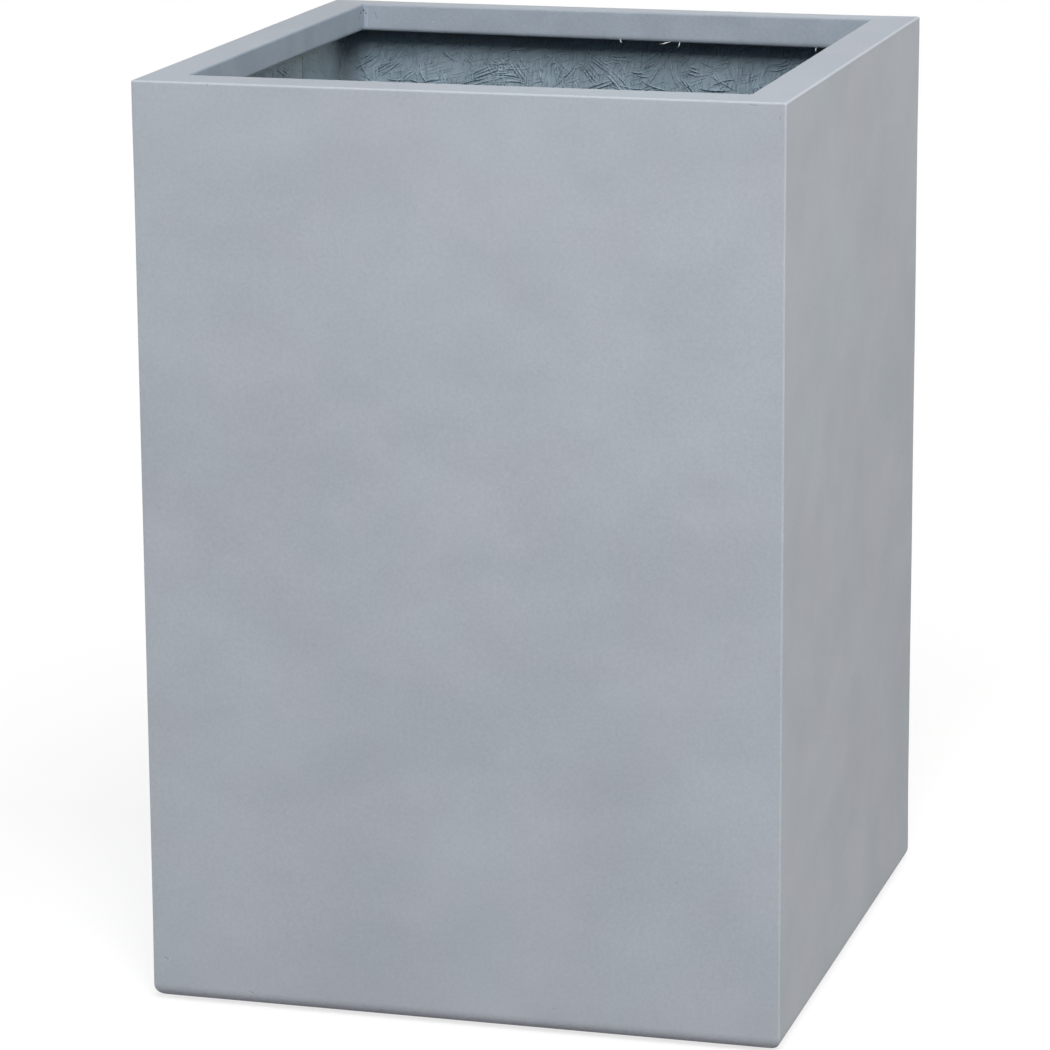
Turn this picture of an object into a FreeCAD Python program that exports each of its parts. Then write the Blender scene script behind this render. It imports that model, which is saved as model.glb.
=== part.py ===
"""Tall square planter, hand-laid glass fibre, standing on four rubber pads.

An open-topped shell of laminate carries a rim of four mitred strips. Each strip
is a flat top with a turned-down lip, and is bonded under its flange to the wall
by an angle of glass mat. A rubber plug closes the drain hole in the floor.

Frame: origin at the centre of the base, on the ground; +Z up; the front wall
faces -Y. Lengths are in millimetres.
"""
import FreeCAD, Part
import os

import Sketcher
from FreeCAD import Placement, Rotation, Vector

doc = FreeCAD.newDocument("Planter")

# ---------------------------------------------------------------- dimensions
DIMENSIONS = (
    ("planter_width", 500.0, "outside, left to right"),
    ("planter_depth", 500.0, "outside, front to back"),
    ("planter_height", 720.0, "underside of the floor to top of rim"),
    ("wall_thickness", 5.0, "laminate wall"),
    ("floor_thickness", 6.0, "laminate floor"),
    ("corner_radius", 2.0, "upright outer edges of shell and rim"),
    ("base_edge_radius", 10.0, "outer edge between wall and floor"),
    ("inner_corner_radius", 8.0, "upright inner corners of the shell"),
    ("floor_cove_radius", 6.0, "inner edge between wall and floor"),
    ("rim_width", 34.0, "outer face to mouth"),
    ("rim_thickness", 5.0, "flat top of the rim"),
    ("lip_depth", 21.0, "top of rim to lower edge of lip"),
    ("lip_thickness", 6.0, "turned-down lip"),
    ("mouth_corner_radius", 2.0, "corners of the mouth, seen from above"),
    ("rim_outer_edge_radius", 1.8, "top edge of the rim, outside"),
    ("rim_inner_edge_radius", 2.5, "top edge of the rim, at the mouth"),
    ("lip_edge_radius", 2.8, "lower edges of the lip, nearly a full round"),
    ("lip_cove_radius", 3.0, "hidden hollow between flange and lip"),
    ("mat_leg_height", 32.0, "bonding angle, leg on the wall"),
    ("mat_leg_width", 18.0, "bonding angle, leg under the flange"),
    ("mat_thickness", 2.5, "bonding angle"),
    ("mat_cove_radius", 4.0, "bonding angle, inside of its bend"),
    ("mat_toe_radius", 1.6, "bonding angle, feathered free edges"),
    ("mat_end_gap", 2.0, "end of a bonding angle to what it stops short of"),
    ("drain_diameter", 25.0, "hole through the floor"),
    ("plug_clearance", 0.08, "radial, at the widest part of the shank"),
    ("plug_taper", 0.8, "radius lost along the shank"),
    ("plug_shank_length", 7.0, "below the head"),
    ("plug_head_diameter", 38.0, "head of the plug"),
    ("plug_head_thickness", 4.0, "head of the plug"),
    ("plug_edge_bevel", 1.2, "upper edge of the head"),
    ("foot_diameter", 30.0, "rubber pad"),
    ("foot_height", 2.5, "rubber pad"),
    ("foot_inset", 45.0, "outer face to centre of pad"),
    ("foot_edge_bevel", 0.6, "lower edge of pad"),
)

sizes = doc.addObject("Spreadsheet::Sheet", "Sizes")
for row, (alias, value, meaning) in enumerate(DIMENSIONS, start=1):
    sizes.set(f"A{row}", alias)
    sizes.set(f"B{row}", str(value))
    sizes.set(f"C{row}", meaning)
    sizes.setAlias(f"B{row}", alias)
doc.recompute()

# Levels and spans that follow from the dimensions, as expressions on the sheet.
RIM_TOP = "Sizes.foot_height + Sizes.planter_height"
RIM_SEAT = f"{RIM_TOP} - Sizes.rim_thickness"
FLOOR_TOP = "Sizes.foot_height + Sizes.floor_thickness"
INNER_WIDTH = "Sizes.planter_width - 2 * Sizes.wall_thickness"
INNER_DEPTH = "Sizes.planter_depth - 2 * Sizes.wall_thickness"
MOUTH_WIDTH = "Sizes.planter_width - 2 * Sizes.rim_width"
MOUTH_DEPTH = "Sizes.planter_depth - 2 * Sizes.rim_width"

TINY = 1e-4
START, END = 1, 2
ORIGIN_POINT = (-1, START)


# ------------------------------------------------------------ drawing helpers
def origin_plane(body, role):
    return next(plane for plane in body.Origin.OriginFeatures if plane.Role == role)


def sketch_on(body, name, role, height=None):
    """A sketch on one of the body's own origin planes, lifted by an expression."""
    sketch = body.newObject("Sketcher::SketchObject", name)
    sketch.AttachmentSupport = (origin_plane(body, role), [""])
    sketch.MapMode = "FlatFace"
    if height:
        sketch.setExpression("AttachmentOffset.Base.z", height)
    return sketch


def named_size(sketch, name, expression, *constraint):
    index = sketch.addConstraint(Sketcher.Constraint(*constraint))
    sketch.renameConstraint(index, name)
    sketch.setExpression(f"Constraints.{name}", expression)


def polygon(sketch, points):
    """Closed outline of straight lines, levelled where level; gives its sides."""
    first = sketch.GeometryCount
    count = len(points)
    for index in range(count):
        start = Vector(*points[index], 0)
        end = Vector(*points[(index + 1) % count], 0)
        sketch.addGeometry(Part.LineSegment(start, end), False)
        if abs(start.y - end.y) < TINY:
            sketch.addConstraint(Sketcher.Constraint("Horizontal", first + index))
        if abs(start.x - end.x) < TINY:
            sketch.addConstraint(Sketcher.Constraint("Vertical", first + index))
    for index in range(count):
        follower = first + (index + 1) % count
        sketch.addConstraint(Sketcher.Constraint("Coincident", first + index, END, follower, START))
    return range(first, first + count)


def centred_rectangle(sketch, name, width, depth):
    """Rectangle about the sketch's origin, its sides set by two expressions."""
    half = 100.0 + 10.0 * sketch.GeometryCount
    corners = [(-half, -half), (half, -half), (half, half), (-half, half)]
    front, right, back, _left = polygon(sketch, corners)
    sketch.addConstraint(Sketcher.Constraint("Symmetric", front, START, back, START, *ORIGIN_POINT))
    named_size(sketch, f"{name}_width", width, "DistanceX", front, START, front, END, 2 * half)
    named_size(sketch, f"{name}_depth", depth, "DistanceY", right, START, right, END, 2 * half)


def feature(body, kind, name, **properties):
    made = body.newObject(f"PartDesign::{kind}", name)
    for key, value in properties.items():
        setattr(made, key, value)
    return made


def must_shrink(made, before):
    """A cut that missed its solid shows no error, so the volume is compared."""
    doc.recompute()
    if made.Shape.Volume > before - TINY:
        raise RuntimeError(f"{made.Name} removed nothing")


def dress_edges(kind, size_name, body, base, name, size, test):
    """Fillet or chamfer on those edges of the base feature that pass the test."""
    doc.recompute()
    chosen = [f"Edge{n}" for n, edge in enumerate(base.Shape.Edges, start=1) if test(edge)]
    if not chosen:
        raise RuntimeError(f"{name} finds no edge on {base.Name}")
    made = feature(body, kind, name, Base=(base, chosen))
    made.setExpression(size_name, size)
    doc.recompute()
    return made


def round_edges(*arguments):
    return dress_edges("Fillet", "Radius", *arguments)


def bevel_edges(*arguments):
    return dress_edges("Chamfer", "Size", *arguments)


def upright(edge):
    box = edge.BoundBox
    return box.XLength < TINY and box.YLength < TINY


def level_at(edge, height):
    box = edge.BoundBox
    return box.ZLength < TINY and abs(box.ZMax - height) < TINY


def reach(edge):
    """Furthest sideways extent of an edge from the planter's middle."""
    box = edge.BoundBox
    return max(box.XMax, -box.XMin) - sizes.planter_width / 2


# ---------------------------------------------------------------- outer shell
# One moulding: four walls and the floor, laid up in an open mould. The walls are
# plumb. The base edges are well rounded and the upright edges only just.
shell = doc.addObject("PartDesign::Body", "outer_shell")
shell.Label = "outer_shell"

shell_plan = sketch_on(shell, "shell_plan", "XY_Plane", "Sizes.foot_height")
centred_rectangle(shell_plan, "outside", "Sizes.planter_width", "Sizes.planter_depth")
shell_block = feature(shell, "Pad", "shell_block", Profile=shell_plan)
shell_block.setExpression("Length", f"{RIM_SEAT} - Sizes.foot_height")

base_level = sizes.foot_height
base_rounds = round_edges(
    shell, shell_block, "base_rounds", "Sizes.base_edge_radius",
    lambda edge: level_at(edge, base_level))


def corner_run(edge):
    """An upright corner edge, or its run down round the base corner."""
    box = edge.BoundBox
    diagonal = abs(box.XLength - box.YLength) < TINY
    return diagonal and box.ZLength > TINY


corner_rounds = round_edges(
    shell, base_rounds, "corner_rounds", "Sizes.corner_radius", corner_run)

cavity_plan = sketch_on(shell, "cavity_plan", "XY_Plane", RIM_SEAT)
centred_rectangle(cavity_plan, "inside", INNER_WIDTH, INNER_DEPTH)
solid_volume = corner_rounds.Shape.Volume
cavity = feature(shell, "Pocket", "cavity", Profile=cavity_plan)
cavity.setExpression("Length", f"{RIM_SEAT} - ({FLOOR_TOP})")
must_shrink(cavity, solid_volume)

inner_half_width = sizes.planter_width / 2 - sizes.wall_thickness
floor_level = sizes.foot_height + sizes.floor_thickness
inner_corner_rounds = round_edges(
    shell, cavity, "inner_corner_rounds", "Sizes.inner_corner_radius",
    lambda edge: upright(edge) and abs(abs(edge.BoundBox.XMax) - inner_half_width) < TINY)
floor_cove = round_edges(
    shell, inner_corner_rounds, "floor_cove", "Sizes.floor_cove_radius",
    lambda edge: level_at(edge, floor_level))

drain_plan = sketch_on(shell, "drain_plan", "XY_Plane", FLOOR_TOP)
drain_plan.addGeometry(Part.Circle(Vector(), Vector(0, 0, 1), 10.0), False)
drain_plan.addConstraint(Sketcher.Constraint("Coincident", 0, 3, *ORIGIN_POINT))
named_size(drain_plan, "bore", "Sizes.drain_diameter", "Diameter", 0, 20.0)
tray_volume = floor_cove.Shape.Volume
drain_hole = feature(shell, "Pocket", "drain_hole", Profile=drain_plan)
drain_hole.setExpression("Length", "Sizes.floor_thickness * 2")
must_shrink(drain_hole, tray_volume)

# ------------------------------------------------------------------------ rim
# The whole rim as one ring: a flat top, and a lip turned down round the mouth.
# It is cut into its four strips below, so that the mitres match.
rim_ring = doc.addObject("PartDesign::Body", "rim_ring")

flange_plan = sketch_on(rim_ring, "flange_plan", "XY_Plane", RIM_SEAT)
centred_rectangle(flange_plan, "outside", "Sizes.planter_width", "Sizes.planter_depth")
centred_rectangle(flange_plan, "mouth", MOUTH_WIDTH, MOUTH_DEPTH)
flange = feature(rim_ring, "Pad", "flange", Profile=flange_plan)
flange.setExpression("Length", "Sizes.rim_thickness")

lip_plan = sketch_on(rim_ring, "lip_plan", "XY_Plane", RIM_SEAT)
centred_rectangle(
    lip_plan, "lip", f"{MOUTH_WIDTH} + 2 * Sizes.lip_thickness",
    f"{MOUTH_DEPTH} + 2 * Sizes.lip_thickness")
centred_rectangle(lip_plan, "mouth", MOUTH_WIDTH, MOUTH_DEPTH)
lip = feature(rim_ring, "Pad", "lip", Profile=lip_plan, Reversed=True)
lip.setExpression("Length", "Sizes.lip_depth - Sizes.rim_thickness")
doc.recompute()

rim_top = sizes.foot_height + sizes.planter_height
rim_seat = rim_top - sizes.rim_thickness
lip_foot = rim_top - sizes.lip_depth
mouth_reach = -sizes.rim_width
lip_reach = mouth_reach + sizes.lip_thickness

outer_rounds = round_edges(
    rim_ring, lip, "outer_rounds", "Sizes.corner_radius",
    lambda edge: upright(edge) and abs(reach(edge)) < TINY)
mouth_rounds = round_edges(
    rim_ring, outer_rounds, "mouth_rounds", "Sizes.mouth_corner_radius",
    lambda edge: upright(edge) and abs(reach(edge) - mouth_reach) < TINY)
lip_rounds = round_edges(
    rim_ring, mouth_rounds, "lip_rounds", "Sizes.mouth_corner_radius + Sizes.lip_thickness",
    lambda edge: upright(edge) and abs(reach(edge) - lip_reach) < TINY)
lip_cove = round_edges(
    rim_ring, lip_rounds, "lip_cove", "Sizes.lip_cove_radius",
    lambda edge: level_at(edge, rim_seat) and reach(edge) < lip_reach + TINY)
lip_foot_rounds = round_edges(
    rim_ring, lip_cove, "lip_foot_rounds", "Sizes.lip_edge_radius",
    lambda edge: level_at(edge, lip_foot))
mouth_edge_rounds = round_edges(
    rim_ring, lip_foot_rounds, "mouth_edge_rounds", "Sizes.rim_inner_edge_radius",
    lambda edge: level_at(edge, rim_top) and reach(edge) < mouth_reach + TINY)
top_edge_rounds = round_edges(
    rim_ring, mouth_edge_rounds, "top_edge_rounds", "Sizes.rim_outer_edge_radius",
    lambda edge: level_at(edge, rim_top) and reach(edge) > lip_reach)

# Each side of the planter: its turn about the upright axis from the front, its
# length along the outer face, and the depth from the middle to that face.
SIDES = (
    ("front", 0.0, "Sizes.planter_width", "Sizes.planter_depth / 2"),
    ("right", 90.0, "Sizes.planter_depth", "Sizes.planter_width / 2"),
    ("back", 180.0, "Sizes.planter_width", "Sizes.planter_depth / 2"),
    ("left", 270.0, "Sizes.planter_depth", "Sizes.planter_width / 2"),
)
UP = Vector(0, 0, 1)
MITRE_REACH = "(Sizes.rim_width + 2 * Sizes.mouth_corner_radius)"


def rim_strip(side, turn, length, face):
    """One strip of the rim, cut at 45 degrees where it meets its neighbours."""
    mitre = doc.addObject("Part::Wedge", f"mitre_{side}")
    mitre.setExpression("Xmin", f"-{length} / 2")
    mitre.setExpression("Xmax", f"{length} / 2")
    mitre.setExpression("X2min", f"-{length} / 2 + {MITRE_REACH}")
    mitre.setExpression("X2max", f"{length} / 2 - {MITRE_REACH}")
    mitre.setExpression("Ymin", f"-{face}")
    mitre.setExpression("Ymax", f"-{face} + {MITRE_REACH}")
    for low, high in (("Zmin", "Zmax"), ("Z2min", "Z2max")):
        mitre.setExpression(low, f"{RIM_TOP} - Sizes.lip_depth")
        mitre.setExpression(high, RIM_TOP)
    mitre.Placement = Placement(Vector(), Rotation(UP, turn))
    strip = doc.addObject("Part::Common", f"rim_{side}")
    strip.Label = f"rim_{side}"
    strip.Base = rim_ring
    strip.Tool = mitre
    return strip


# ------------------------------------------------------------- bonding angles
# The front and back angles run from corner to corner. The side ones are cut to
# lie between them, clear of their legs.
SHORT_OF_CORNER = {
    "front": "Sizes.inner_corner_radius",
    "right": "max(Sizes.inner_corner_radius; Sizes.mat_leg_width)",
    "back": "Sizes.inner_corner_radius",
    "left": "max(Sizes.inner_corner_radius; Sizes.mat_leg_width)",
}


def bonding_angle(side, turn, length, face):
    """Glass mat laid into the corner between a wall and its rim strip.

    Drawn in the YZ plane with the corner between wall and flange at the origin,
    the wall's leg running down and the flange's leg running inwards, along +Y.
    """
    angle = doc.addObject("PartDesign::Body", f"rim_tab_{side}")
    angle.Label = f"rim_tab_{side}"
    section = sketch_on(angle, f"section_{side}", "YZ_Plane")
    outline = [(0, 0), (20, 0), (20, -3), (3, -3), (3, -30), (0, -30)]
    top, toe, _under, _leg, heel, wall = polygon(section, outline)
    section.addConstraint(Sketcher.Constraint("Coincident", top, START, *ORIGIN_POINT))
    named_size(section, "leg_width", "Sizes.mat_leg_width", "DistanceX", top, START, top, END, 20)
    named_size(section, "toe", "Sizes.mat_thickness", "DistanceY", toe, END, toe, START, 3)
    named_size(section, "heel", "Sizes.mat_thickness", "DistanceX", heel, END, heel, START, 3)
    named_size(section, "leg_height", "Sizes.mat_leg_height", "DistanceY", wall, START, wall, END, 30)
    strip = feature(angle, "Pad", f"strip_{side}", Profile=section, SideType="Symmetric")
    ends = f"2 * (Sizes.wall_thickness + {SHORT_OF_CORNER[side]} + Sizes.mat_end_gap)"
    strip.setExpression("Length", f"{length} - {ends}")

    def along(edge, inward, down):
        box = edge.BoundBox
        placed = abs(box.YMax - inward) < TINY and abs(box.ZMax + down) < TINY
        return placed and box.YLength < TINY and box.ZLength < TINY

    thick = sizes.mat_thickness
    bend = round_edges(
        angle, strip, f"bend_{side}", "Sizes.mat_cove_radius",
        lambda edge: along(edge, thick, thick))
    round_edges(
        angle, bend, f"toes_{side}", "Sizes.mat_toe_radius",
        lambda edge: along(edge, sizes.mat_leg_width, thick) or along(edge, thick, sizes.mat_leg_height))
    inner_face = f"({face} - Sizes.wall_thickness)"
    angle.Placement = Placement(Vector(), Rotation(UP, turn))
    angle.setExpression("Placement.Base.x", f"{inner_face} * sin({turn} deg)")
    angle.setExpression("Placement.Base.y", f"-{inner_face} * cos({turn} deg)")
    angle.setExpression("Placement.Base.z", RIM_SEAT)
    return angle


rim_strips = [rim_strip(*side) for side in SIDES]
bonding_angles = [bonding_angle(*side) for side in SIDES]

# ----------------------------------------------------------------- drain plug
# Moulded rubber plug, pushed in from inside. Its head lies on the floor and its
# tapered shank fills the drain hole.
plug = doc.addObject("PartDesign::Body", "drain_plug")
plug.Label = "drain_plug"
plug_section = sketch_on(plug, "plug_section", "XZ_Plane")
plug_outline = [(0, -7), (11, -7), (12, 0), (19, 0), (19, 4), (0, 4)]
tip, shank, seat, side, _crown, axis = polygon(plug_section, plug_outline)
plug_section.addConstraint(Sketcher.Constraint("PointOnObject", axis, START, -2))
plug_section.addConstraint(Sketcher.Constraint("PointOnObject", seat, START, -1))
SHANK_RADIUS = "Sizes.drain_diameter / 2 - Sizes.plug_clearance"
named_size(
    plug_section, "tip_radius", f"{SHANK_RADIUS} - Sizes.plug_taper", "DistanceX", tip, START, tip, END, 11)
named_size(plug_section, "shank_radius", SHANK_RADIUS, "DistanceX", *ORIGIN_POINT, shank, END, 12)
named_size(
    plug_section, "head_radius", "Sizes.plug_head_diameter / 2", "DistanceX", *ORIGIN_POINT, seat, END, 19)
named_size(plug_section, "head", "Sizes.plug_head_thickness", "DistanceY", side, START, side, END, 4)
named_size(plug_section, "shank", "Sizes.plug_shank_length", "DistanceY", shank, START, shank, END, 7)
plug_turned = feature(
    plug, "Revolution", "plug_turned", Profile=plug_section, Angle=360.0,
    ReferenceAxis=(plug_section, ["V_Axis"]))
bevel_edges(
    plug, plug_turned, "plug_crown", "Sizes.plug_edge_bevel",
    lambda edge: level_at(edge, sizes.plug_head_thickness) and edge.BoundBox.XLength > TINY)
plug.setExpression("Placement.Base.z", FLOOR_TOP)

# ------------------------------------------------------------------ foot pads
CORNERS = (("front_left", "-", "-"), ("front_right", "", "-"), ("back_right", "", ""), ("back_left", "-", ""))


def foot_pad(corner, x_sign, y_sign):
    """Round rubber pad stuck under the floor near one corner."""
    pad = doc.addObject("PartDesign::Body", f"foot_pad_{corner}")
    pad.Label = f"foot_pad_{corner}"
    disc_plan = sketch_on(pad, f"disc_{corner}", "XY_Plane")
    disc_plan.addGeometry(Part.Circle(Vector(), Vector(0, 0, 1), 15.0), False)
    disc_plan.addConstraint(Sketcher.Constraint("Coincident", 0, 3, *ORIGIN_POINT))
    named_size(disc_plan, "disc", "Sizes.foot_diameter", "Diameter", 0, 30.0)
    disc = feature(pad, "Pad", f"rubber_{corner}", Profile=disc_plan)
    disc.setExpression("Length", "Sizes.foot_height")
    bevel_edges(
        pad, disc, f"bevelled_{corner}", "Sizes.foot_edge_bevel", lambda edge: level_at(edge, 0))
    pad.setExpression("Placement.Base.x", f"{x_sign}(Sizes.planter_width / 2 - Sizes.foot_inset)")
    pad.setExpression("Placement.Base.y", f"{y_sign}(Sizes.planter_depth / 2 - Sizes.foot_inset)")
    return pad


foot_pads = [foot_pad(*corner) for corner in CORNERS]

# ----------------------------------------------------------- check and export
doc.recompute()
nodes = [shell, *rim_strips, *bonding_angles, plug, *foot_pads]

for made in doc.Objects:
    if "Invalid" in made.State or "Error" in made.State:
        raise RuntimeError(f"{made.Name} failed: {made.State}")
for node in nodes:
    if node.Shape.isNull() or not node.Shape.isValid():
        raise RuntimeError(f"{node.Label} has no valid shape")

os.makedirs("parts", exist_ok=True)
for node in nodes:
    node.Shape.exportStep(os.path.join("parts", f"{node.Label}.step"))
    print(f"{node.Label}: {len(node.Shape.Solids)} solid, {node.Shape.Volume / 1000:.1f} cm3")
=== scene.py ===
import random
from math import cos, pi, radians, sin

import bpy
from mathutils import Matrix, Vector, noise


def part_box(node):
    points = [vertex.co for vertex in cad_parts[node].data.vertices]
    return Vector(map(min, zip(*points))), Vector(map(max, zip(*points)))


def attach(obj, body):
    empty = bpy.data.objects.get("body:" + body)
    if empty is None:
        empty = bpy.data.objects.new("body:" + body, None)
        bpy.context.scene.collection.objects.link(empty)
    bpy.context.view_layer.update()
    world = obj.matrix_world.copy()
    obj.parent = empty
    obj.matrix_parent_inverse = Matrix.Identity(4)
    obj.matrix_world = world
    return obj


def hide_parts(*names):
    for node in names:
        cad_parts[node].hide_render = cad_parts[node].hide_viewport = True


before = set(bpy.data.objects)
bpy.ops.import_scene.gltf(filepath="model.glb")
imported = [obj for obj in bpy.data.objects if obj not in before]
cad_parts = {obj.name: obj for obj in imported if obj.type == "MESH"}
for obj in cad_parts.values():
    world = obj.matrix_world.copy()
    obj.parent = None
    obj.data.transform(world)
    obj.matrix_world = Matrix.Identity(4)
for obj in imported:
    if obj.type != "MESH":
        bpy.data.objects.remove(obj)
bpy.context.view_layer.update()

# ---------------------------------------------------------------- outer shell
# Glass-fibre laminate laid by hand into an open mould: four plumb walls and the
# floor in one piece. Outside it is filled, sanded and sprayed like pale stone;
# inside it is only painted, over the bare chopped-strand mat.
shell_low, shell_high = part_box("outer_shell")
HALF = shell_high.x
BASE = shell_low.z
RIM_SEAT = shell_high.z
WALL = 0.005
FLOOR_TOP = BASE + 0.006
CORNER = 0.002
BASE_ROUND = 0.010
INSIDE_CORNER = 0.008
FLOOR_COVE = 0.006
DRAIN = 0.0125
BROAD_LUMP, SMALL_LUMP = 0.0008, 0.0005
HOLLOW = 0.0007
SIDE_STEPS = 48
HALF_CORNER_STEPS = 4
WALL_ROWS = 64
COVE_STEPS = 6
ROUND_STEPS = 8
SHARP_FROM = 50
# Rows of points on the floor and under the base: shares of the way out from the drain hole.
FLOOR_ROWS = (0.04, 0.3, 0.6, 0.9, 0.985)
UNDERSIDE_ROWS = (0.985, 0.7, 0.35, 0.04)


def side_run(reach, radius):
    """The front stretch of a rounded square, from mitre to mitre, seen from above."""
    straight = reach - radius
    points = []
    for step in range(HALF_CORNER_STEPS + 1):
        angle = radians(225 + 45 * step / HALF_CORNER_STEPS)
        points.append((-straight + radius * cos(angle), -straight + radius * sin(angle)))
    for step in range(1, SIDE_STEPS):
        points.append((straight * (2 * step / SIDE_STEPS - 1), -reach))
    for step in range(HALF_CORNER_STEPS + 1):
        angle = radians(270 + 45 * step / HALF_CORNER_STEPS)
        points.append((straight + radius * cos(angle), -straight + radius * sin(angle)))
    return points


def turned(point, quarter):
    """A point of the front side, carried round to another side of the planter."""
    x, y, *rest = point
    for _ in range(quarter % 4):
        x, y = -y, x
    return (x, y, *rest)


def square_ring(reach, radius, level):
    front = [(x, y, level) for x, y in side_run(reach, radius)][:-1]
    return [turned(point, quarter) for quarter in range(4) for point in front]


def round_ring(radius, level):
    count = 4 * (2 * HALF_CORNER_STEPS + SIDE_STEPS)
    angles = [radians(225 + 360 * step / count) for step in range(count)]
    return [(radius * cos(angle), radius * sin(angle), level) for angle in angles]


def between(ring_a, ring_b, share):
    return [Vector(a).lerp(Vector(b), share) for a, b in zip(ring_a, ring_b)]


def levels(low, high, count):
    return [low + (high - low) * step / count for step in range(count + 1)]


def grown(past, over):
    """0 up to a line, then rising evenly to 1 over this distance past it."""
    return min(1.0, max(0.0, past / over))


def lumps(x, y, z):
    """Unevenness of the inner face, where the mat was rolled down by hand."""
    place = Vector((x, y, z))
    fade = grown(RIM_SEAT - z, 0.012) * grown(z - FLOOR_TOP - FLOOR_COVE, 0.02)
    broad = BROAD_LUMP * noise.noise(place * 14.0)
    small = SMALL_LUMP * noise.noise(place * 40.0 + Vector((7, 3, 1)))
    return fade * (broad + small)


def hollows(x, y, z):
    """Faint hollows left by sanding the outside; they only ever go inwards."""
    fade = grown(RIM_SEAT - 0.02 - z, 0.06) * grown(z - BASE - 0.012, 0.05)
    return HOLLOW * fade * (0.5 + 0.5 * noise.noise(Vector((x, y, z)) * 6.5))


def pushed_in(point, depth):
    """Moves a point of a wall towards the middle, square to the wall it is on."""
    x, y, z = point
    if abs(x) > abs(y):
        return (x - depth * (1 if x > 0 else -1), y, z)
    return (x, y - depth * (1 if y > 0 else -1), z)


def shell_rings():
    """Rings of points from the drain hole over the floor and up the inner walls,
    then down the outside and under the base back to the hole."""
    rings = [round_ring(DRAIN, FLOOR_TOP)]
    floor_corner = INSIDE_CORNER - FLOOR_COVE
    floor_edge = square_ring(HALF - WALL - FLOOR_COVE, floor_corner, FLOOR_TOP)
    rings += [between(rings[0], floor_edge, share) for share in FLOOR_ROWS]
    for step in range(COVE_STEPS + 1):
        angle = radians(90 * step / COVE_STEPS)
        out = FLOOR_COVE * (1 - sin(angle))
        level = FLOOR_TOP + FLOOR_COVE * (1 - cos(angle))
        rings.append(square_ring(HALF - WALL - out, INSIDE_CORNER - out, level))
    for level in levels(FLOOR_TOP + FLOOR_COVE + 0.001, RIM_SEAT - 0.001, WALL_ROWS):
        ring = square_ring(HALF - WALL, INSIDE_CORNER, level)
        rings.append([pushed_in(point, lumps(*point)) for point in ring])
    rings.append(square_ring(HALF - WALL, INSIDE_CORNER, RIM_SEAT))
    inside = len(rings)
    rings.append(square_ring(HALF, CORNER, RIM_SEAT))
    for level in levels(RIM_SEAT - 0.002, BASE + BASE_ROUND + 0.0015, WALL_ROWS):
        ring = square_ring(HALF, CORNER, level)
        rings.append([pushed_in(point, hollows(*point)) for point in ring])
    for step in range(ROUND_STEPS + 1):
        angle = radians(90 * step / ROUND_STEPS)
        in_by = BASE_ROUND * (1 - cos(angle))
        rings.append(square_ring(HALF - in_by, CORNER, BASE + BASE_ROUND * (1 - sin(angle))))
    drain_mouth = round_ring(DRAIN, BASE)
    rings += [between(drain_mouth, rings[-1], share) for share in UNDERSIDE_ROWS]
    rings.append(drain_mouth)
    return rings, inside


def skin(rows, width, rows_close=False, row_is_ring=True):
    """Faces between neighbouring rows of points, each row as long as the others."""
    faces = []
    for row in range(rows if rows_close else rows - 1):
        here, there = row * width, (row + 1) % rows * width
        for step in range(width if row_is_ring else width - 1):
            follow = (step + 1) % width
            faces.append((here + step, here + follow, there + follow, there + step))
    return faces


def joined(name, verts, faces):
    mesh = bpy.data.meshes.new(name)
    mesh.from_pydata([tuple(v) for v in verts], [], faces)
    mesh.validate()
    mesh.shade_smooth()
    made = bpy.data.objects.new(name, mesh)
    bpy.context.scene.collection.objects.link(made)
    return made


def crisp(made):
    """Keeps broad flat faces flat beside their rounded edges."""
    made.data.set_sharp_from_angle(angle=radians(SHARP_FROM))
    weighted = made.modifiers.new("flat_faces", "WEIGHTED_NORMAL")
    weighted.keep_sharp = True
    weighted.weight = 100
    return made


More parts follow.
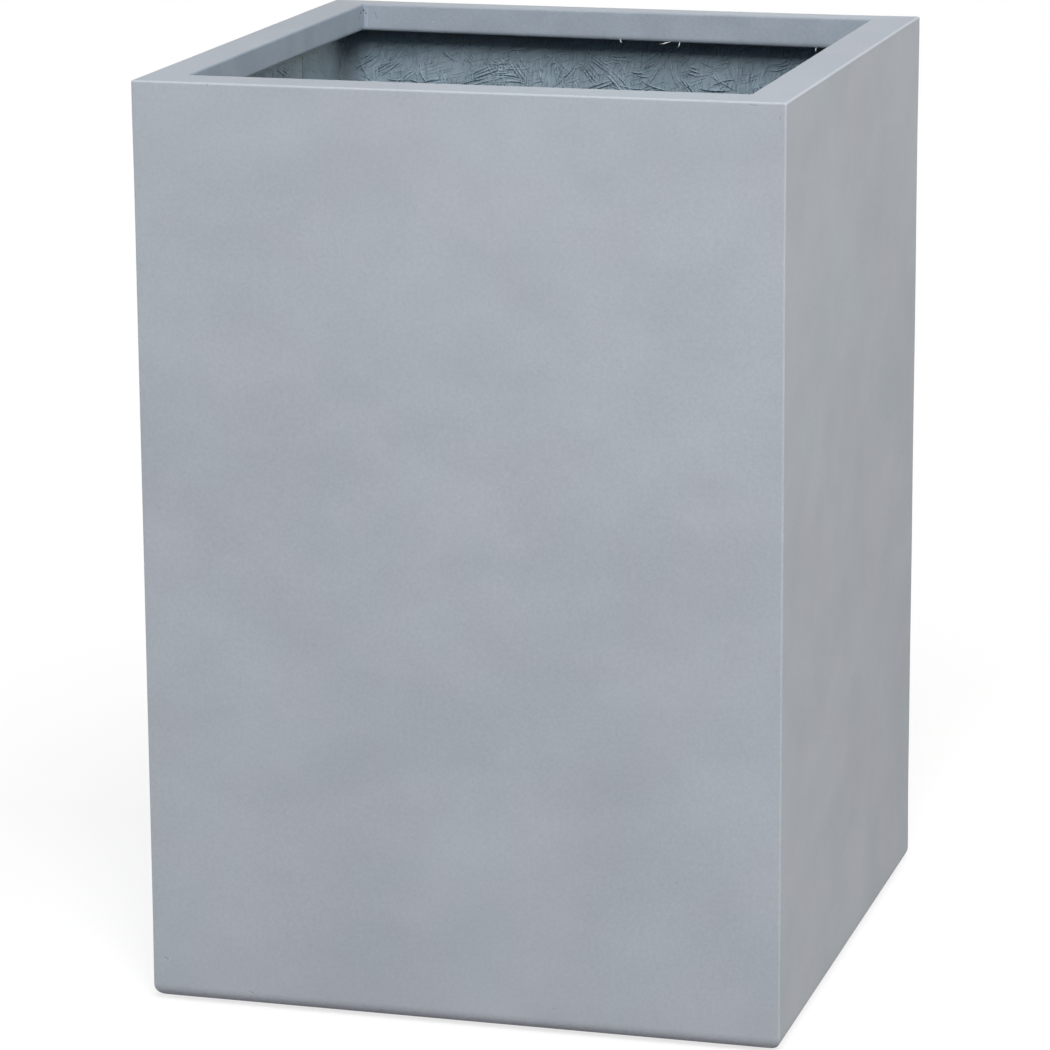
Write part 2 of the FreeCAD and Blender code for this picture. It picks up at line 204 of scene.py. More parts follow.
class Flow:
    """One output of a shader node; working with it adds the nodes for the sum."""

    def __init__(self, tree, socket=None):
        self.tree = tree
        self.socket = socket

    def add(self, kind, settings=None, sockets=None, give=0):
        """A node of any type: its settings first, then values or links for its sockets."""
        node = self.tree.nodes.new("ShaderNode" + kind)
        for name, value in (settings or {}).items():
            setattr(node, name, value)
        for name, value in (sockets or {}).items():
            if isinstance(value, Flow):
                self.tree.links.new(value.socket, node.inputs[name])
            else:
                node.inputs[name].default_value = value
        return Flow(self.tree, node.outputs[give] if node.outputs else None)

    def is_wide(self):
        return self.socket.type in ("VECTOR", "RGBA")

    def work(self, operation, first, second):
        """Math on numbers; Vector Math as soon as one side is a vector or a colour."""
        pair = [first, second]
        if not any(isinstance(item, (tuple, Vector)) or isinstance(item, Flow) and item.is_wide()
                   for item in pair):
            return self.add("Math", {"operation": operation}, {0: first, 1: second})
        pair = [(item, item, item) if isinstance(item, (int, float)) else item for item in pair]
        return self.add("VectorMath", {"operation": operation}, {0: pair[0], 1: pair[1]})

    def __add__(self, other):
        return self.work("ADD", self, other)

    def __radd__(self, other):
        return self.work("ADD", other, self)

    def __sub__(self, other):
        return self.work("SUBTRACT", self, other)

    def __rsub__(self, other):
        return self.work("SUBTRACT", other, self)

    def __mul__(self, other):
        return self.work("MULTIPLY", self, other)

    def __rmul__(self, other):
        return self.work("MULTIPLY", other, self)

    def __truediv__(self, other):
        return self.work("DIVIDE", self, other)

    def __abs__(self):
        return self.add("Math", {"operation": "ABSOLUTE"}, {0: self})

    def most(self, other):
        return self.add("Math", {"operation": "MAXIMUM"}, {0: self, 1: other})

    def least(self, other):
        return self.add("Math", {"operation": "MINIMUM"}, {0: self, 1: other})

    def axis(self, number):
        """The x, y or z of a vector."""
        return self.add("SeparateXYZ", None, {"Vector": self}, give=number)

    def away(self, point):
        """How far off a point this place is."""
        return self.add("VectorMath", {"operation": "DISTANCE"}, {0: self, 1: point}, give=1)

    def ramp(self, low, high):
        """0 below low, 1 above high, soft at both ends."""
        return self.add("MapRange", {"interpolation_type": "SMOOTHSTEP"},
                        {"Value": self, "From Min": low, "From Max": high})

    def tint(self, dark, light):
        """This mask as a colour between two."""
        settings = {"data_type": "RGBA", "clamp_factor": True}
        return self.add("Mix", settings, {0: self, 6: dark, 7: light}, give=2)


def grain(place, scale, detail, roughness):
    """Noise about 0.5, its scale in cycles to the metre."""
    return place.add("TexNoise", None, {
        "Vector": place, "Scale": scale, "Detail": detail, "Roughness": roughness})


def srgb(red, green, blue):
    """A colour read off a colour card, 0 to 255, as the renderer wants it."""
    def linear(value):
        value /= 255
        return value / 12.92 if value <= 0.04045 else ((value + 0.055) / 1.055) ** 2.4
    return (linear(red), linear(green), linear(blue), 1.0)


def new_material(name):
    """A material with its surface still open, and where on the planter it is seen."""
    material = bpy.data.materials.new(name)
    material.use_nodes = True
    material.node_tree.nodes.clear()
    start = Flow(material.node_tree)
    return material, start.add("TexCoord", give=3)


def finish_material(place, colour, roughness, height, depth, specular=0.3):
    """Closes a material; depth is the relief in metres that a height of 1 stands for."""
    relief = place.add("Bump", None, {"Strength": 1.0, "Distance": depth, "Height": height})
    body = place.add("BsdfPrincipled", None, {
        "Base Color": colour, "Roughness": roughness, "Specular IOR Level": specular,
        "Normal": relief})
    place.add("OutputMaterial", None, {"Surface": body})


def stroke(place, start, end, width):
    """A mask of a short line between two points, soft over its width."""
    span = Vector(end) - Vector(start)
    along = place.add("VectorMath", {"operation": "DOT_PRODUCT"},
                      {0: place - tuple(start), 1: tuple(span)}, give=1)
    along = (along / span.length_squared).most(0.0).least(1.0)
    nearest = along * tuple(span) + tuple(start)
    return 1 - place.away(nearest).ramp(width * 0.25, width)


MOUTH = 0.216
BASE_COAT_DARK = srgb(152, 162, 173)
BASE_COAT_LIGHT = srgb(160, 170, 181)
STONE_DARK = srgb(164, 171, 179)
STONE_LIGHT = srgb(171, 178, 186)
# Painted shade on the left lip: how much darker its coat is made than the other lips.
LEFT_LIP_PAINTED_SHADE = (0.74, 0.79, 0.83, 1)
WARM_DRIFT = (1.010, 0.993, 1.0, 1)
COOL_DRIFT = (0.990, 1.005, 1.0, 1)
# The paint's grain in cycles to the metre, and how much each one shades it.
SAND, SAND_SHADE = 900.0, 0.15
GRIT, GRIT_SHADE = 320.0, 0.19
BLOTCH, BLOTCH_SHADE = 150.0, 0.03
# How much lighter a painted highlight makes the rim's rounded outer top edge.
EDGE_PAINTED_HIGHLIGHT = 0.17
PINHOLE_PAINTED_SHADE = 0.55
STONE_ROUGHNESS = 0.72
STONE_RELIEF = 0.00012
STONE_SPECULAR = 0.14
# Where the spray lingered or ran thin on the front: centre x and z, reach, shade.
SMUDGES = (
    (-0.207, 0.565, 0.070, -0.012), (-0.163, 0.406, 0.085, -0.014),
    (-0.086, 0.223, 0.065, -0.016), (-0.190, 0.255, 0.060, -0.014),
    (0.111, 0.198, 0.055, -0.016), (0.088, 0.255, 0.040, -0.010),
    (-0.096, 0.074, 0.070, -0.014), (0.111, 0.096, 0.080, -0.012),
    (-0.087, 0.668, 0.070, 0.010), (0.142, 0.551, 0.080, 0.010),
    (0.111, 0.459, 0.090, 0.008), (-0.184, 0.168, 0.060, 0.010),
    (-0.023, 0.132, 0.070, 0.010), (-0.205, 0.048, 0.060, 0.010))
# Small marks of handling: start, end, width, and how dark or light they are.
MARKS = (
    ((-0.2400, -0.25, 0.0352), (-0.2372, -0.25, 0.0338), 0.0008, -0.16),
    ((-0.2372, -0.25, 0.0338), (-0.2345, -0.25, 0.0362), 0.0009, 0.12),
    ((-0.1896, -0.25, 0.7222), (-0.1896, -0.25, 0.7196), 0.0009, -0.18),
    ((0.2225, -0.25, 0.7196), (0.2275, -0.25, 0.7190), 0.0007, -0.05),
    ((0.2452, -0.25, 0.7118), (0.2450, -0.25, 0.7096), 0.0009, -0.12),
    ((-0.1710, -0.25, 0.0134), (-0.1680, -0.25, 0.0122), 0.0009, -0.12),
    ((0.0725, -0.25, 0.0216), (0.0745, -0.25, 0.0210), 0.0009, -0.08),
    ((-0.1548, 0.216, 0.7102), (-0.1536, 0.216, 0.7098), 0.0010, 0.16),
    ((-0.2156, 0.2148, 0.7196), (-0.2152, 0.2150, 0.7040), 0.0012, -0.12),
    ((-0.2120, 0.216, 0.7190), (-0.2125, 0.216, 0.7050), 0.0013, 0.07),
    ((-0.2060, 0.216, 0.7150), (-0.2050, 0.216, 0.7100), 0.0010, -0.06))
# Pinholes left in the filler of the mitre at the back left of the mouth, darkened as painted
# shade inside them: centre, size.
PINHOLES = (
    ((-0.216, 0.2085, 0.7158), 0.0017), ((-0.2154, 0.2148, 0.7172), 0.0012),
    ((-0.2140, 0.2160, 0.7148), 0.0008), ((-0.216, 0.2045, 0.7120), 0.0009))


def stone_paint():
    """Sprayed paint with fine sand in it, in soft clouds a little darker or lighter.

    It covers the outside and the rim; down in the mouth the bluer base coat shows.
    Each layer of grain is shifted, so that no two of them lie alike.
    """
    material, place = new_material("stone_paint")
    wide = place * (1.0, 1.0, 1.5)
    clouds = (grain(wide, 7.0, 2.0, 0.5) * 0.6
              + grain(wide + (3.1, 1.7, 5.2), 17.0, 2.0, 0.5) * 0.4)
    sand = grain(place, SAND, 1.0, 0.5)
    grit = grain(place + (9.0, 4.0, 2.0), GRIT, 2.0, 0.6)
    blotch = grain(place + (2.0, 6.0, 4.0), BLOTCH, 2.0, 0.5)
    drift = grain(place + (5.5, 8.1, 0.4), 9.0, 2.0, 0.6).ramp(0.35, 0.65)
    stone = clouds.ramp(0.3, 0.7).tint(STONE_DARK, STONE_LIGHT)
    stone = stone * drift.tint(WARM_DRIFT, COOL_DRIFT)
    shade = (1 + (sand - 0.5) * SAND_SHADE + (grit - 0.5) * GRIT_SHADE
             + (blotch - 0.5) * BLOTCH_SHADE)
    for x, z, reach, strength in SMUDGES:
        shade = shade + (1 - place.away((x, -HALF, z)).ramp(0.0, reach)) * strength

    coat = grain(place + (1.0, 2.0, 3.0), 26.0, 3.0, 0.6).ramp(0.3, 0.7)
    coat = coat.tint(BASE_COAT_DARK, BASE_COAT_LIGHT)
    # Painted shade: the coat on the left lip inside the mouth is made darker.
    on_left_lip = 1 - place.axis(0).ramp(-MOUTH - 0.001, -MOUTH + 0.003)
    coat = coat * on_left_lip.tint((1, 1, 1, 1), LEFT_LIP_PAINTED_SHADE)
    inset = HALF - abs(place.axis(0)).most(abs(place.axis(1)))
    in_mouth = inset.ramp(HALF - MOUTH - 0.0017, HALF - MOUTH - 0.0002)
    # Painted highlight: the paint is made lighter along the rounded outer top edge of the rim.
    top_edge_highlight = place.axis(2).ramp(RIM_SEAT + 0.0026, RIM_SEAT + 0.0040)
    shade = shade + top_edge_highlight * (1 - inset.ramp(0.0006, 0.0026)) * EDGE_PAINTED_HIGHLIGHT

    height = sand * 0.5 + grit * 0.5
    for start, end, width, strength in MARKS:
        mark = stroke(place, start, end, width)
        shade = shade + mark * strength
        height = height - mark * 1.5
    # Painted shade: each pinhole is darkened as well as sunk in the bump.
    for centre, size in PINHOLES:
        hole = 1 - place.away(centre).ramp(size * 0.4, size)
        shade = shade - hole * PINHOLE_PAINTED_SHADE
        height = height - hole * 4.0
    finish_material(place, in_mouth.tint(stone, coat) * shade,
                    STONE_ROUGHNESS + (grit - 0.5) * 0.3, height, STONE_RELIEF, STONE_SPECULAR)
    return material


BARE_DARK = srgb(136, 154, 166)
BARE_LIGHT = srgb(150, 168, 180)
UNDER_RIM_PAINTED_SHADE = srgb(88, 81, 77)
INSIDE_RELIEF = 0.0006
# Three layers of fine streaks that cross each other: how far turned, how far shifted.
STREAKS = ((0.35, 0.0), (1.4, 3.3), (2.5, 7.7))
STREAK_STRETCH = (70.0, 70.0, 700.0)
# Painted shade and highlight on a strand: how dark its edges are made, and how much lighter its
# back.
GROOVE_PAINTED_SHADE, BACK_PAINTED_HIGHLIGHT = 0.70, 0.50


def inside_paint(name, on_strands=False):
    """The base coat alone, thin over the bare mat; up under the rim it darkens, as painted shade
    over resin that the spray hardly reached.

    On the strands it is darkened in the grooves beside them as painted shade, and lightened on
    their backs as a painted highlight.
    """
    material, place = new_material(name)
    patches = grain(place, 22.0, 3.0, 0.6)
    colour = patches.ramp(0.35, 0.65).tint(BARE_DARK, BARE_LIGHT)
    # Painted shade up under the rim, over resin the spray hardly reached: the colour darkens
    # towards brown-black.
    level = place.axis(2) + (patches - 0.5) * 0.02
    under_rim_shade_mask = level.ramp(RIM_SEAT - 0.033, RIM_SEAT - 0.013)
    colour = under_rim_shade_mask.tint(colour, UNDER_RIM_PAINTED_SHADE)
    streaks = None
    for turn, shift in STREAKS:
        spun = place.add("VectorRotate", {"rotation_type": "EULER_XYZ"}, {
            "Vector": place + (shift, shift, shift), "Rotation": (turn, turn * 0.8, turn * 1.3)})
        streak = grain(spun * STREAK_STRETCH, 1.0, 1.0, 0.5).ramp(0.55, 0.70)
        streaks = streak if streaks is None else streaks + streak
    fine = grain(place, 700.0, 2.0, 0.6)
    shade = 0.96 + fine * 0.08
    # Painted shade in the grooves beside each strand and a painted highlight on its back.
    if on_strands:
        ridge = place.add("Attribute", {"attribute_name": "ridge"}, give=2)
        shade = shade * (GROOVE_PAINTED_SHADE + BACK_PAINTED_HIGHLIGHT * ridge)
    finish_material(place, colour * shade, 0.5 + (patches - 0.5) * 0.2,
                    streaks * 0.8 + fine * 0.3, INSIDE_RELIEF)
    return material


rings, inside_rings = shell_rings()
ring_size = len(rings[0])
verts = [vertex for ring in rings for vertex in ring]
outer_shell = crisp(joined("laminate_shell", verts, skin(len(rings), ring_size, rows_close=True)))
paint = stone_paint()
bare = inside_paint("inside_paint")
outer_shell.data.materials.append(paint)
outer_shell.data.materials.append(bare)
for face in outer_shell.data.polygons:
    face.material_index = 1 if face.index < (inside_rings - 1) * ring_size else 0
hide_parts("outer_shell")
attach(outer_shell, "planter")

# ------------------------------------------------------------- chopped strands
# The mat is glass rovings chopped to about 50 mm and strewn at random. Its top
# strands stand up through the thin paint as low rounded ridges, in little
# bundles of up to four that lie side by side.
STRAND_STEPS = 5
STRAND_LENGTH = (0.012, 0.036)
STRAND_WIDTH = (0.0011, 0.0019)
STRAND_HEIGHT = (0.0009, 0.0020)
LANE_GAP = (0.0022, 0.0034)
MOSTLY_STRAIGHT = 0.7
SLIGHT_BEND, STRONG_BEND = 0.05, 0.22
SLIPPED_ALONG, SLANTED = 0.003, 0.03
PLUG_CLEARANCE = 0.024
BUNDLES = (1, 1, 2, 2, 2, 3, 3, 4)
# Across a strand, as shares of its width and height; its edges are sunk in the wall.
STRAND_SECTION = ((-0.5, -0.12), (-0.2, 1.0), (0.2, 1.0), (0.5, -0.12))
# One bundle to so many square millimetres.
WALL_SPREAD = 125
FLOOR_SPREAD = 260


def strand_ridges(draw, spread, reach_u, reach_v, keep_off, place_on):
    """Ridges strewn over a patch; place_on puts a flat (u, v, height) on its surface."""
    wide = int(reach_u[1] * 1e3 - reach_u[0] * 1e3)
    high = int(reach_v[1] * 1e3 - reach_v[0] * 1e3)
    last_step = STRAND_STEPS - 1
    verts, faces = [], []
    for _ in range(wide * high // spread):
        middle = (draw.uniform(*reach_u), draw.uniform(*reach_v))
        heading = draw.uniform(0, pi)
        length = draw.uniform(*STRAND_LENGTH)
        bend = draw.gauss(0, SLIGHT_BEND if draw.random() < MOSTLY_STRAIGHT else STRONG_BEND)
        for lane in range(draw.choice(BUNDLES)):
            half = length * draw.uniform(0.75, 1.0) / 2
            width = draw.uniform(*STRAND_WIDTH)
            height = draw.uniform(*STRAND_HEIGHT)
            aside = lane * draw.uniform(*LANE_GAP)
            shift = draw.gauss(0, SLIPPED_ALONG)
            slant = heading + draw.gauss(0, SLANTED)
            ahead, across = (cos(slant), sin(slant)), (-sin(slant), cos(slant))
            line = []
            for step in range(STRAND_STEPS):
                run = half * (2 * step / last_step - 1)
                bow = aside + bend * (run * run - half * half) / half
                line.append((middle[0] + ahead[0] * (run + shift) + across[0] * bow,
                             middle[1] + ahead[1] * (run + shift) + across[1] * bow))
            if any(keep_off(u, v) for u, v in line):
                continue
            first = len(verts)
            for step, (u, v) in enumerate(line):
                taper = min(1.0, 0.12 + 2.6 * min(step, last_step - step) / last_step)
                for share, rise in STRAND_SECTION:
                    out = share * width * taper
                    flat = (u + across[0] * out, v + across[1] * out)
                    verts.append(place_on(*flat, rise * height * taper))
            for step in range(last_step):
                for edge in range(3):
                    corner = first + step * 4 + edge
                    faces.append((corner, corner + 4, corner + 5, corner + 1))
            last = first + last_step * 4
            faces.append((first, first + 1, first + 2, first + 3))
            faces.append((last + 3, last + 2, last + 1, last))
    return verts, faces


SIDES = ("front", "right", "back", "left")
LEFT = SIDES.index("left")
INNER_FACE = HALF - WALL
TAB_FOOT = RIM_SEAT - 0.032
# On the left wall, the patch beside the lap that was rolled smooth: from, to, above.
ROLLED_SMOOTH = (-0.226, -0.112, 0.60)


def wall_place(quarter):
    def place_on(u, v, height):
        flat = turned((u, -INNER_FACE, v), quarter)
        return pushed_in(flat, lumps(*flat) + height)
    return place_on


def off_wall(quarter):
    """Tells where this wall has no strands: its edges, and what was rolled smooth."""
    def keep_off(u, v):
        start, end, above = ROLLED_SMOOTH
        if quarter == LEFT and start < u < end and v > above:
            return True
        return (abs(u) > INNER_FACE - INSIDE_CORNER
                or not FLOOR_TOP + FLOOR_COVE + 0.001 < v < TAB_FOOT + 0.003)
    return keep_off


def off_floor(u, v):
    """Keeps the strands off the cove and clear of the drain plug's head."""
    return max(abs(u), abs(v)) > INNER_FACE - 0.012 or u * u + v * v < PLUG_CLEARANCE ** 2


def floor_place(u, v, height):
    return (u, v, FLOOR_TOP + height)


def mat_piece(name, verts, faces, material):
    """A piece of the laminate's own glass, painted over and fixed to it."""
    made = joined(name, verts, faces)
    made.data.materials.append(material)
    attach(made, "planter")
    return made


def mark_ridges(made):
    """Marks the back of every strand 1 and its two edges 0, for the painted highlight and shade.
    """
    ridge = made.data.attributes.new("ridge", "FLOAT", "POINT")
    marks = [(0.0, 1.0, 1.0, 0.0)[index % 4] for index in range(len(made.data.vertices))]
    ridge.data.foreach_set("value", marks)


strand_paint = inside_paint("strand_paint", on_strands=True)
across_wall = (-INNER_FACE + 0.01, INNER_FACE - 0.01)
up_wall = (FLOOR_TOP + FLOOR_COVE, TAB_FOOT)
for quarter, side in enumerate(SIDES):
    found = strand_ridges(random.Random(40 + quarter), WALL_SPREAD, across_wall, up_wall,
                          off_wall(quarter), wall_place(quarter))
    mark_ridges(mat_piece(f"strands_{side}", *found, strand_paint))
across_floor = (-INNER_FACE + 0.014, INNER_FACE - 0.014)
found = strand_ridges(random.Random(51), FLOOR_SPREAD, across_floor, across_floor,
                      off_floor, floor_place)
mark_ridges(mat_piece("strands_floor", *found, strand_paint))

# ------------------------------------------------------------------------ rim
# A flat rim with a lip turned down into the mouth, laid up as four strips of
# laminate, mitred, bonded on the wall tops and filled flush before painting.
RIM_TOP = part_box("rim_front")[1].z
LIP_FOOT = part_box("rim_front")[0].z
RIM_WIDTH = 0.034
LIP_THICK = 0.006
TOP_ROUND = 0.0018
MOUTH_ROUND = 0.0016
LIP_ROUND = 0.0028
MOUTH_CORNER = 0.002
LIP_COVE = 0.003
# How far the top of each strip falls from its mouth edge to its outer edge.
RIM_FALL = {"front": 0.0004, "right": 0.0004, "back": 0.0014, "left": 0.0006}
FALLS_MEET = 0.09
# The lip's foot hangs lower everywhere by the first, at the middle of the back by the
# second too, and there by so much more to each metre towards the right.
EVEN_SAG, BACK_SAG, BACK_SLANT = 0.0004, 0.0024, 0.0075
HANG_FROM = RIM_SEAT - 0.004
EDGE_STEPS = 6
TOP_ROWS = (0.0030, 0.010, 0.018, 0.026, 0.0302)
LIP_ROWS = (RIM_TOP - 0.0040, RIM_TOP - 0.0105, LIP_FOOT + 0.0040)


def arc(centre, radius, start, end, steps):
    """Points (inset, level) of an arc across the strip, angles in degrees."""
    angles = [radians(start + (end - start) * step / steps) for step in range(steps + 1)]
    return [(centre[0] + radius * cos(a), centre[1] + radius * sin(a)) for a in angles]


def rim_section():
    """Once round the strip's section, from the seat up the outer face, over the
    top, down the mouth side of the lip and back up behind it."""
    lip_back = RIM_WIDTH - LIP_THICK
    points = [(0.0, RIM_SEAT), (0.0, RIM_SEAT + 0.0012)]
    points += arc((TOP_ROUND, RIM_TOP - TOP_ROUND), TOP_ROUND, 180, 90, EDGE_STEPS)
    points += [(inset, RIM_TOP) for inset in TOP_ROWS]
    mouth_edge = (RIM_WIDTH - MOUTH_ROUND, RIM_TOP - MOUTH_ROUND)
    points += arc(mouth_edge, MOUTH_ROUND, 90, 0, EDGE_STEPS)
    points += [(RIM_WIDTH, level) for level in LIP_ROWS]
    foot = LIP_FOOT + LIP_ROUND
    points += arc((RIM_WIDTH - LIP_ROUND, foot), LIP_ROUND, 0, -90, EDGE_STEPS)
    points += arc((lip_back + LIP_ROUND, foot), LIP_ROUND, -90, -180, EDGE_STEPS)
    points += [(lip_back, RIM_SEAT - LIP_COVE - 0.001)]
    points += arc((lip_back - LIP_COVE, RIM_SEAT - LIP_COVE), LIP_COVE, 0, 90, 3)
    return points + [(WALL, RIM_SEAT)]


def plan_radius(inset):
    """How round the strip's line is at the corners, seen from above."""
    if inset <= TOP_ROUND:
        return CORNER - inset
    if inset < RIM_WIDTH - LIP_THICK - LIP_COVE:
        at_edge = CORNER - TOP_ROUND
        at_mouth = MOUTH_CORNER + MOUTH_ROUND
        flat = RIM_WIDTH - MOUTH_ROUND - TOP_ROUND
        return at_edge + (at_mouth - at_edge) * (inset - TOP_ROUND) / flat
    return MOUTH_CORNER + RIM_WIDTH - inset


def rim_fall(quarter, x):
    """The fall of this strip, run into its neighbours' at the mitres."""
    mine = RIM_FALL[SIDES[quarter]]
    neighbour = RIM_FALL[SIDES[(quarter + (1 if x > 0 else -1)) % 4]]
    near_end = max(0.0, (abs(x) - (HALF - FALLS_MEET)) / FALLS_MEET)
    return mine + (neighbour - mine) * 0.5 * min(1.0, near_end) ** 2


def lip_sag(x, y):
    """How much deeper the foot of the lip hangs: at the back it isn't level."""
    at_back = max(0.0, min(1.0, y / MOUTH))
    back_sag = BACK_SAG + BACK_SLANT * max(-MOUTH, min(MOUTH, x))
    return EVEN_SAG + back_sag * at_back ** 2


section = rim_section()
for quarter, side in enumerate(SIDES):
    verts = []
    for inset, level in section:
        lift = max(0.0, (level - RIM_SEAT) / (RIM_TOP - RIM_SEAT))
        outward = lift * max(0.0, 1 - inset / RIM_WIDTH)
        hang = max(0.0, (HANG_FROM - level) / (HANG_FROM - LIP_FOOT)) ** 2
        for x, y in side_run(HALF - inset, plan_radius(inset)):
            there = turned((x, y), quarter)
            drop = rim_fall(quarter, x) * outward + lip_sag(*there) * hang
            verts.append((*there, level - drop))
    rows = len(section)
    width = len(verts) // rows
    faces = skin(rows, width, rows_close=True, row_is_ring=False)
    faces.append(tuple(row * width for row in range(rows)))
    faces.append(tuple(row * width + width - 1 for row in reversed(range(rows))))
    strip = crisp(joined(f"rim_strip_{side}", verts, faces))
    strip.data.materials.append(paint)
    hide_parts(f"rim_{side}")
    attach(strip, "planter")

# -------------------------------------------------------------- bonding angles
# Strips of wet mat pressed into the corner under each rim strip, one leg on the
# wall and one under the rim; their free edges are feathered and a little ragged.
TAB_WIDTH = 0.018
TAB_THICK = 0.0025
TAB_COVE = 0.004
TAB_STEPS = 94
# How far the foot on the wall, the toe under the rim and the thickness wander.
FOOT_RAG, FINE_RAG = 0.0016, 0.0006
TOE_RAG = 0.0012
THIN_BY = 0.0004


def tab_section(x, seed):
    """Once round the angle's section at one place, its two toes a little ragged."""
    ragged = Vector((x * 60.0, seed, 0.0))
    foot = (TAB_FOOT + FOOT_RAG + FOOT_RAG * noise.noise(ragged)
            + FINE_RAG * noise.noise(ragged * 5))
    toe = WALL + TAB_WIDTH - TOE_RAG - TOE_RAG * noise.noise(ragged + Vector((0, 9, 0)))
    thick = TAB_THICK - THIN_BY + THIN_BY * noise.noise(Vector((x * 35.0, seed, 4.0)))
    face, under = WALL + thick, RIM_SEAT - thick
    points = [(toe, RIM_SEAT), (WALL, RIM_SEAT), (WALL - 0.0006, foot), (WALL + 0.0002, foot)]
    points += [(WALL + thick * 0.35, foot + 0.003), (WALL + thick * 0.75, foot + 0.008)]
    points += [(face, foot + 0.013), (face, under - TAB_COVE - 0.002)]
    points += arc((face + TAB_COVE, under - TAB_COVE), TAB_COVE, 180, 90, 4)
    return points + [(toe - 0.004, under), (toe - 0.001, RIM_SEAT - 0.0008)]


for quarter, side in enumerate(SIDES):
    tab_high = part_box(f"rim_tab_{side}")[1]
    reach = tab_high.y if quarter % 2 else tab_high.x
    verts = []
    for step in range(TAB_STEPS + 1):
        x = reach * (2 * step / TAB_STEPS - 1)
        for inset, level in tab_section(x, 20.0 * quarter):
            flat = turned((x, -HALF + inset, level), quarter)
            on_wall = turned((x, -INNER_FACE, level), quarter)
            verts.append(pushed_in(flat, lumps(*on_wall)))
    width = len(verts) // (TAB_STEPS + 1)
    faces = skin(TAB_STEPS + 1, width)
    faces.append(tuple(reversed(range(width))))
    faces.append(tuple(range(TAB_STEPS * width, (TAB_STEPS + 1) * width)))
    angle = crisp(joined(f"mat_angle_{side}", verts, faces))
    angle.data.materials.append(bare)
    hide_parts(f"rim_tab_{side}")
    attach(angle, "planter")

# -------------------------------------------------------------- lap of the mat
# Two lengths of the mat overlap on the left wall, bonded with resin. The upper
# one ends in a wavy edge, and the strip beside it is painted dark as its shadow.
LAP_STEPS = 150
LAP_BACK = 0.1398
LAP_WAVES = ((45.0, 0.0040), (9.0, 0.004), (160.0, 0.0014))
LAP_THICK = 0.0006
# Across the lap: how far back of its free edge, how far up off the wall.
LAP_SHAPE = (
    (-0.0200, -0.0004), (-0.0130, 0.0004), (-0.0060, 0.0013), (-0.0030, 0.0017),
    (-0.0006, 0.0009), (0.0002, 0.0004), (0.0028, 0.0003), (0.0038, -0.0004))
LAP_SHADOW_FROM = 3  # the face of that shape from which on it is painted shadow
LAP_SHADOW_DARK = srgb(56, 64, 69)
LAP_SHADOW_LIGHT = srgb(82, 94, 102)


def lap_edge(level):
    """How far back the lap's free edge lies at this level."""
    place = Vector((0.0, 5.0, level))
    back = LAP_BACK
    for scale, size in LAP_WAVES:
        back += size * noise.noise(place * scale)
    return back


def painted_lap_shadow():
    """Painted shadow beside the lap's free edge: dark, mottled and a little shinier than the
    wall.
    """
    material, place = new_material("painted_lap_shadow")
    mottle = grain(place, 120.0, 2.0, 0.6)
    colour = mottle.ramp(0.35, 0.7).tint(LAP_SHADOW_DARK, LAP_SHADOW_LIGHT)
    finish_material(place, colour, 0.35 + mottle * 0.2, mottle, 0.0003)
    return material


verts = []
for level in levels(FLOOR_TOP + FLOOR_COVE, TAB_FOOT + 0.006, LAP_STEPS):
    for back, rise in LAP_SHAPE:
        flat = (-INNER_FACE, lap_edge(level) + back, level)
        verts.append(pushed_in(flat, lumps(*flat) + rise))
faces = skin(LAP_STEPS + 1, len(LAP_SHAPE), row_is_ring=False)
lap = mat_piece("mat_lap_left", verts, faces, bare)
# The falling side of the lap and the strip beyond its edge get the painted shadow.
lap.data.materials.append(painted_lap_shadow())
for face in lap.data.polygons:
    if face.index % (len(LAP_SHAPE) - 1) >= LAP_SHADOW_FROM:
        face.material_index = 1
thick_lap = lap.modifiers.new("body", "SOLIDIFY")
thick_lap.thickness = LAP_THICK
thick_lap.offset = -1.0

# ------------------------------------------------------------- glass whiskers
# Single stiff glass fibres that the paint didn't lay down. They are held by the
# resin behind the foot of the back lip and stand out from under it.
WHISKER = 0.00033
WHISKER_STEPS = 12
WHISKER_SIDES = 6
WHISKERS = (
    ((0.0052, 0.2175, 0.7000), (0.0062, 0.2140, 0.6990),
     (0.0072, 0.2138, 0.6980), (0.0077, 0.2140, 0.6969)),
    ((0.0490, 0.2175, 0.6990), (0.0462, 0.2140, 0.6984),
     (0.0430, 0.2136, 0.6974), (0.0402, 0.2136, 0.6972)),
    ((0.0562, 0.2175, 0.6996), (0.0566, 0.2140, 0.6982),
     (0.0566, 0.2137, 0.6966), (0.0555, 0.2137, 0.6946)),
    ((0.1706, 0.2175, 0.6980), (0.1708, 0.2142, 0.6968),
     (0.1712, 0.2140, 0.6958), (0.1709, 0.2141, 0.6949)))


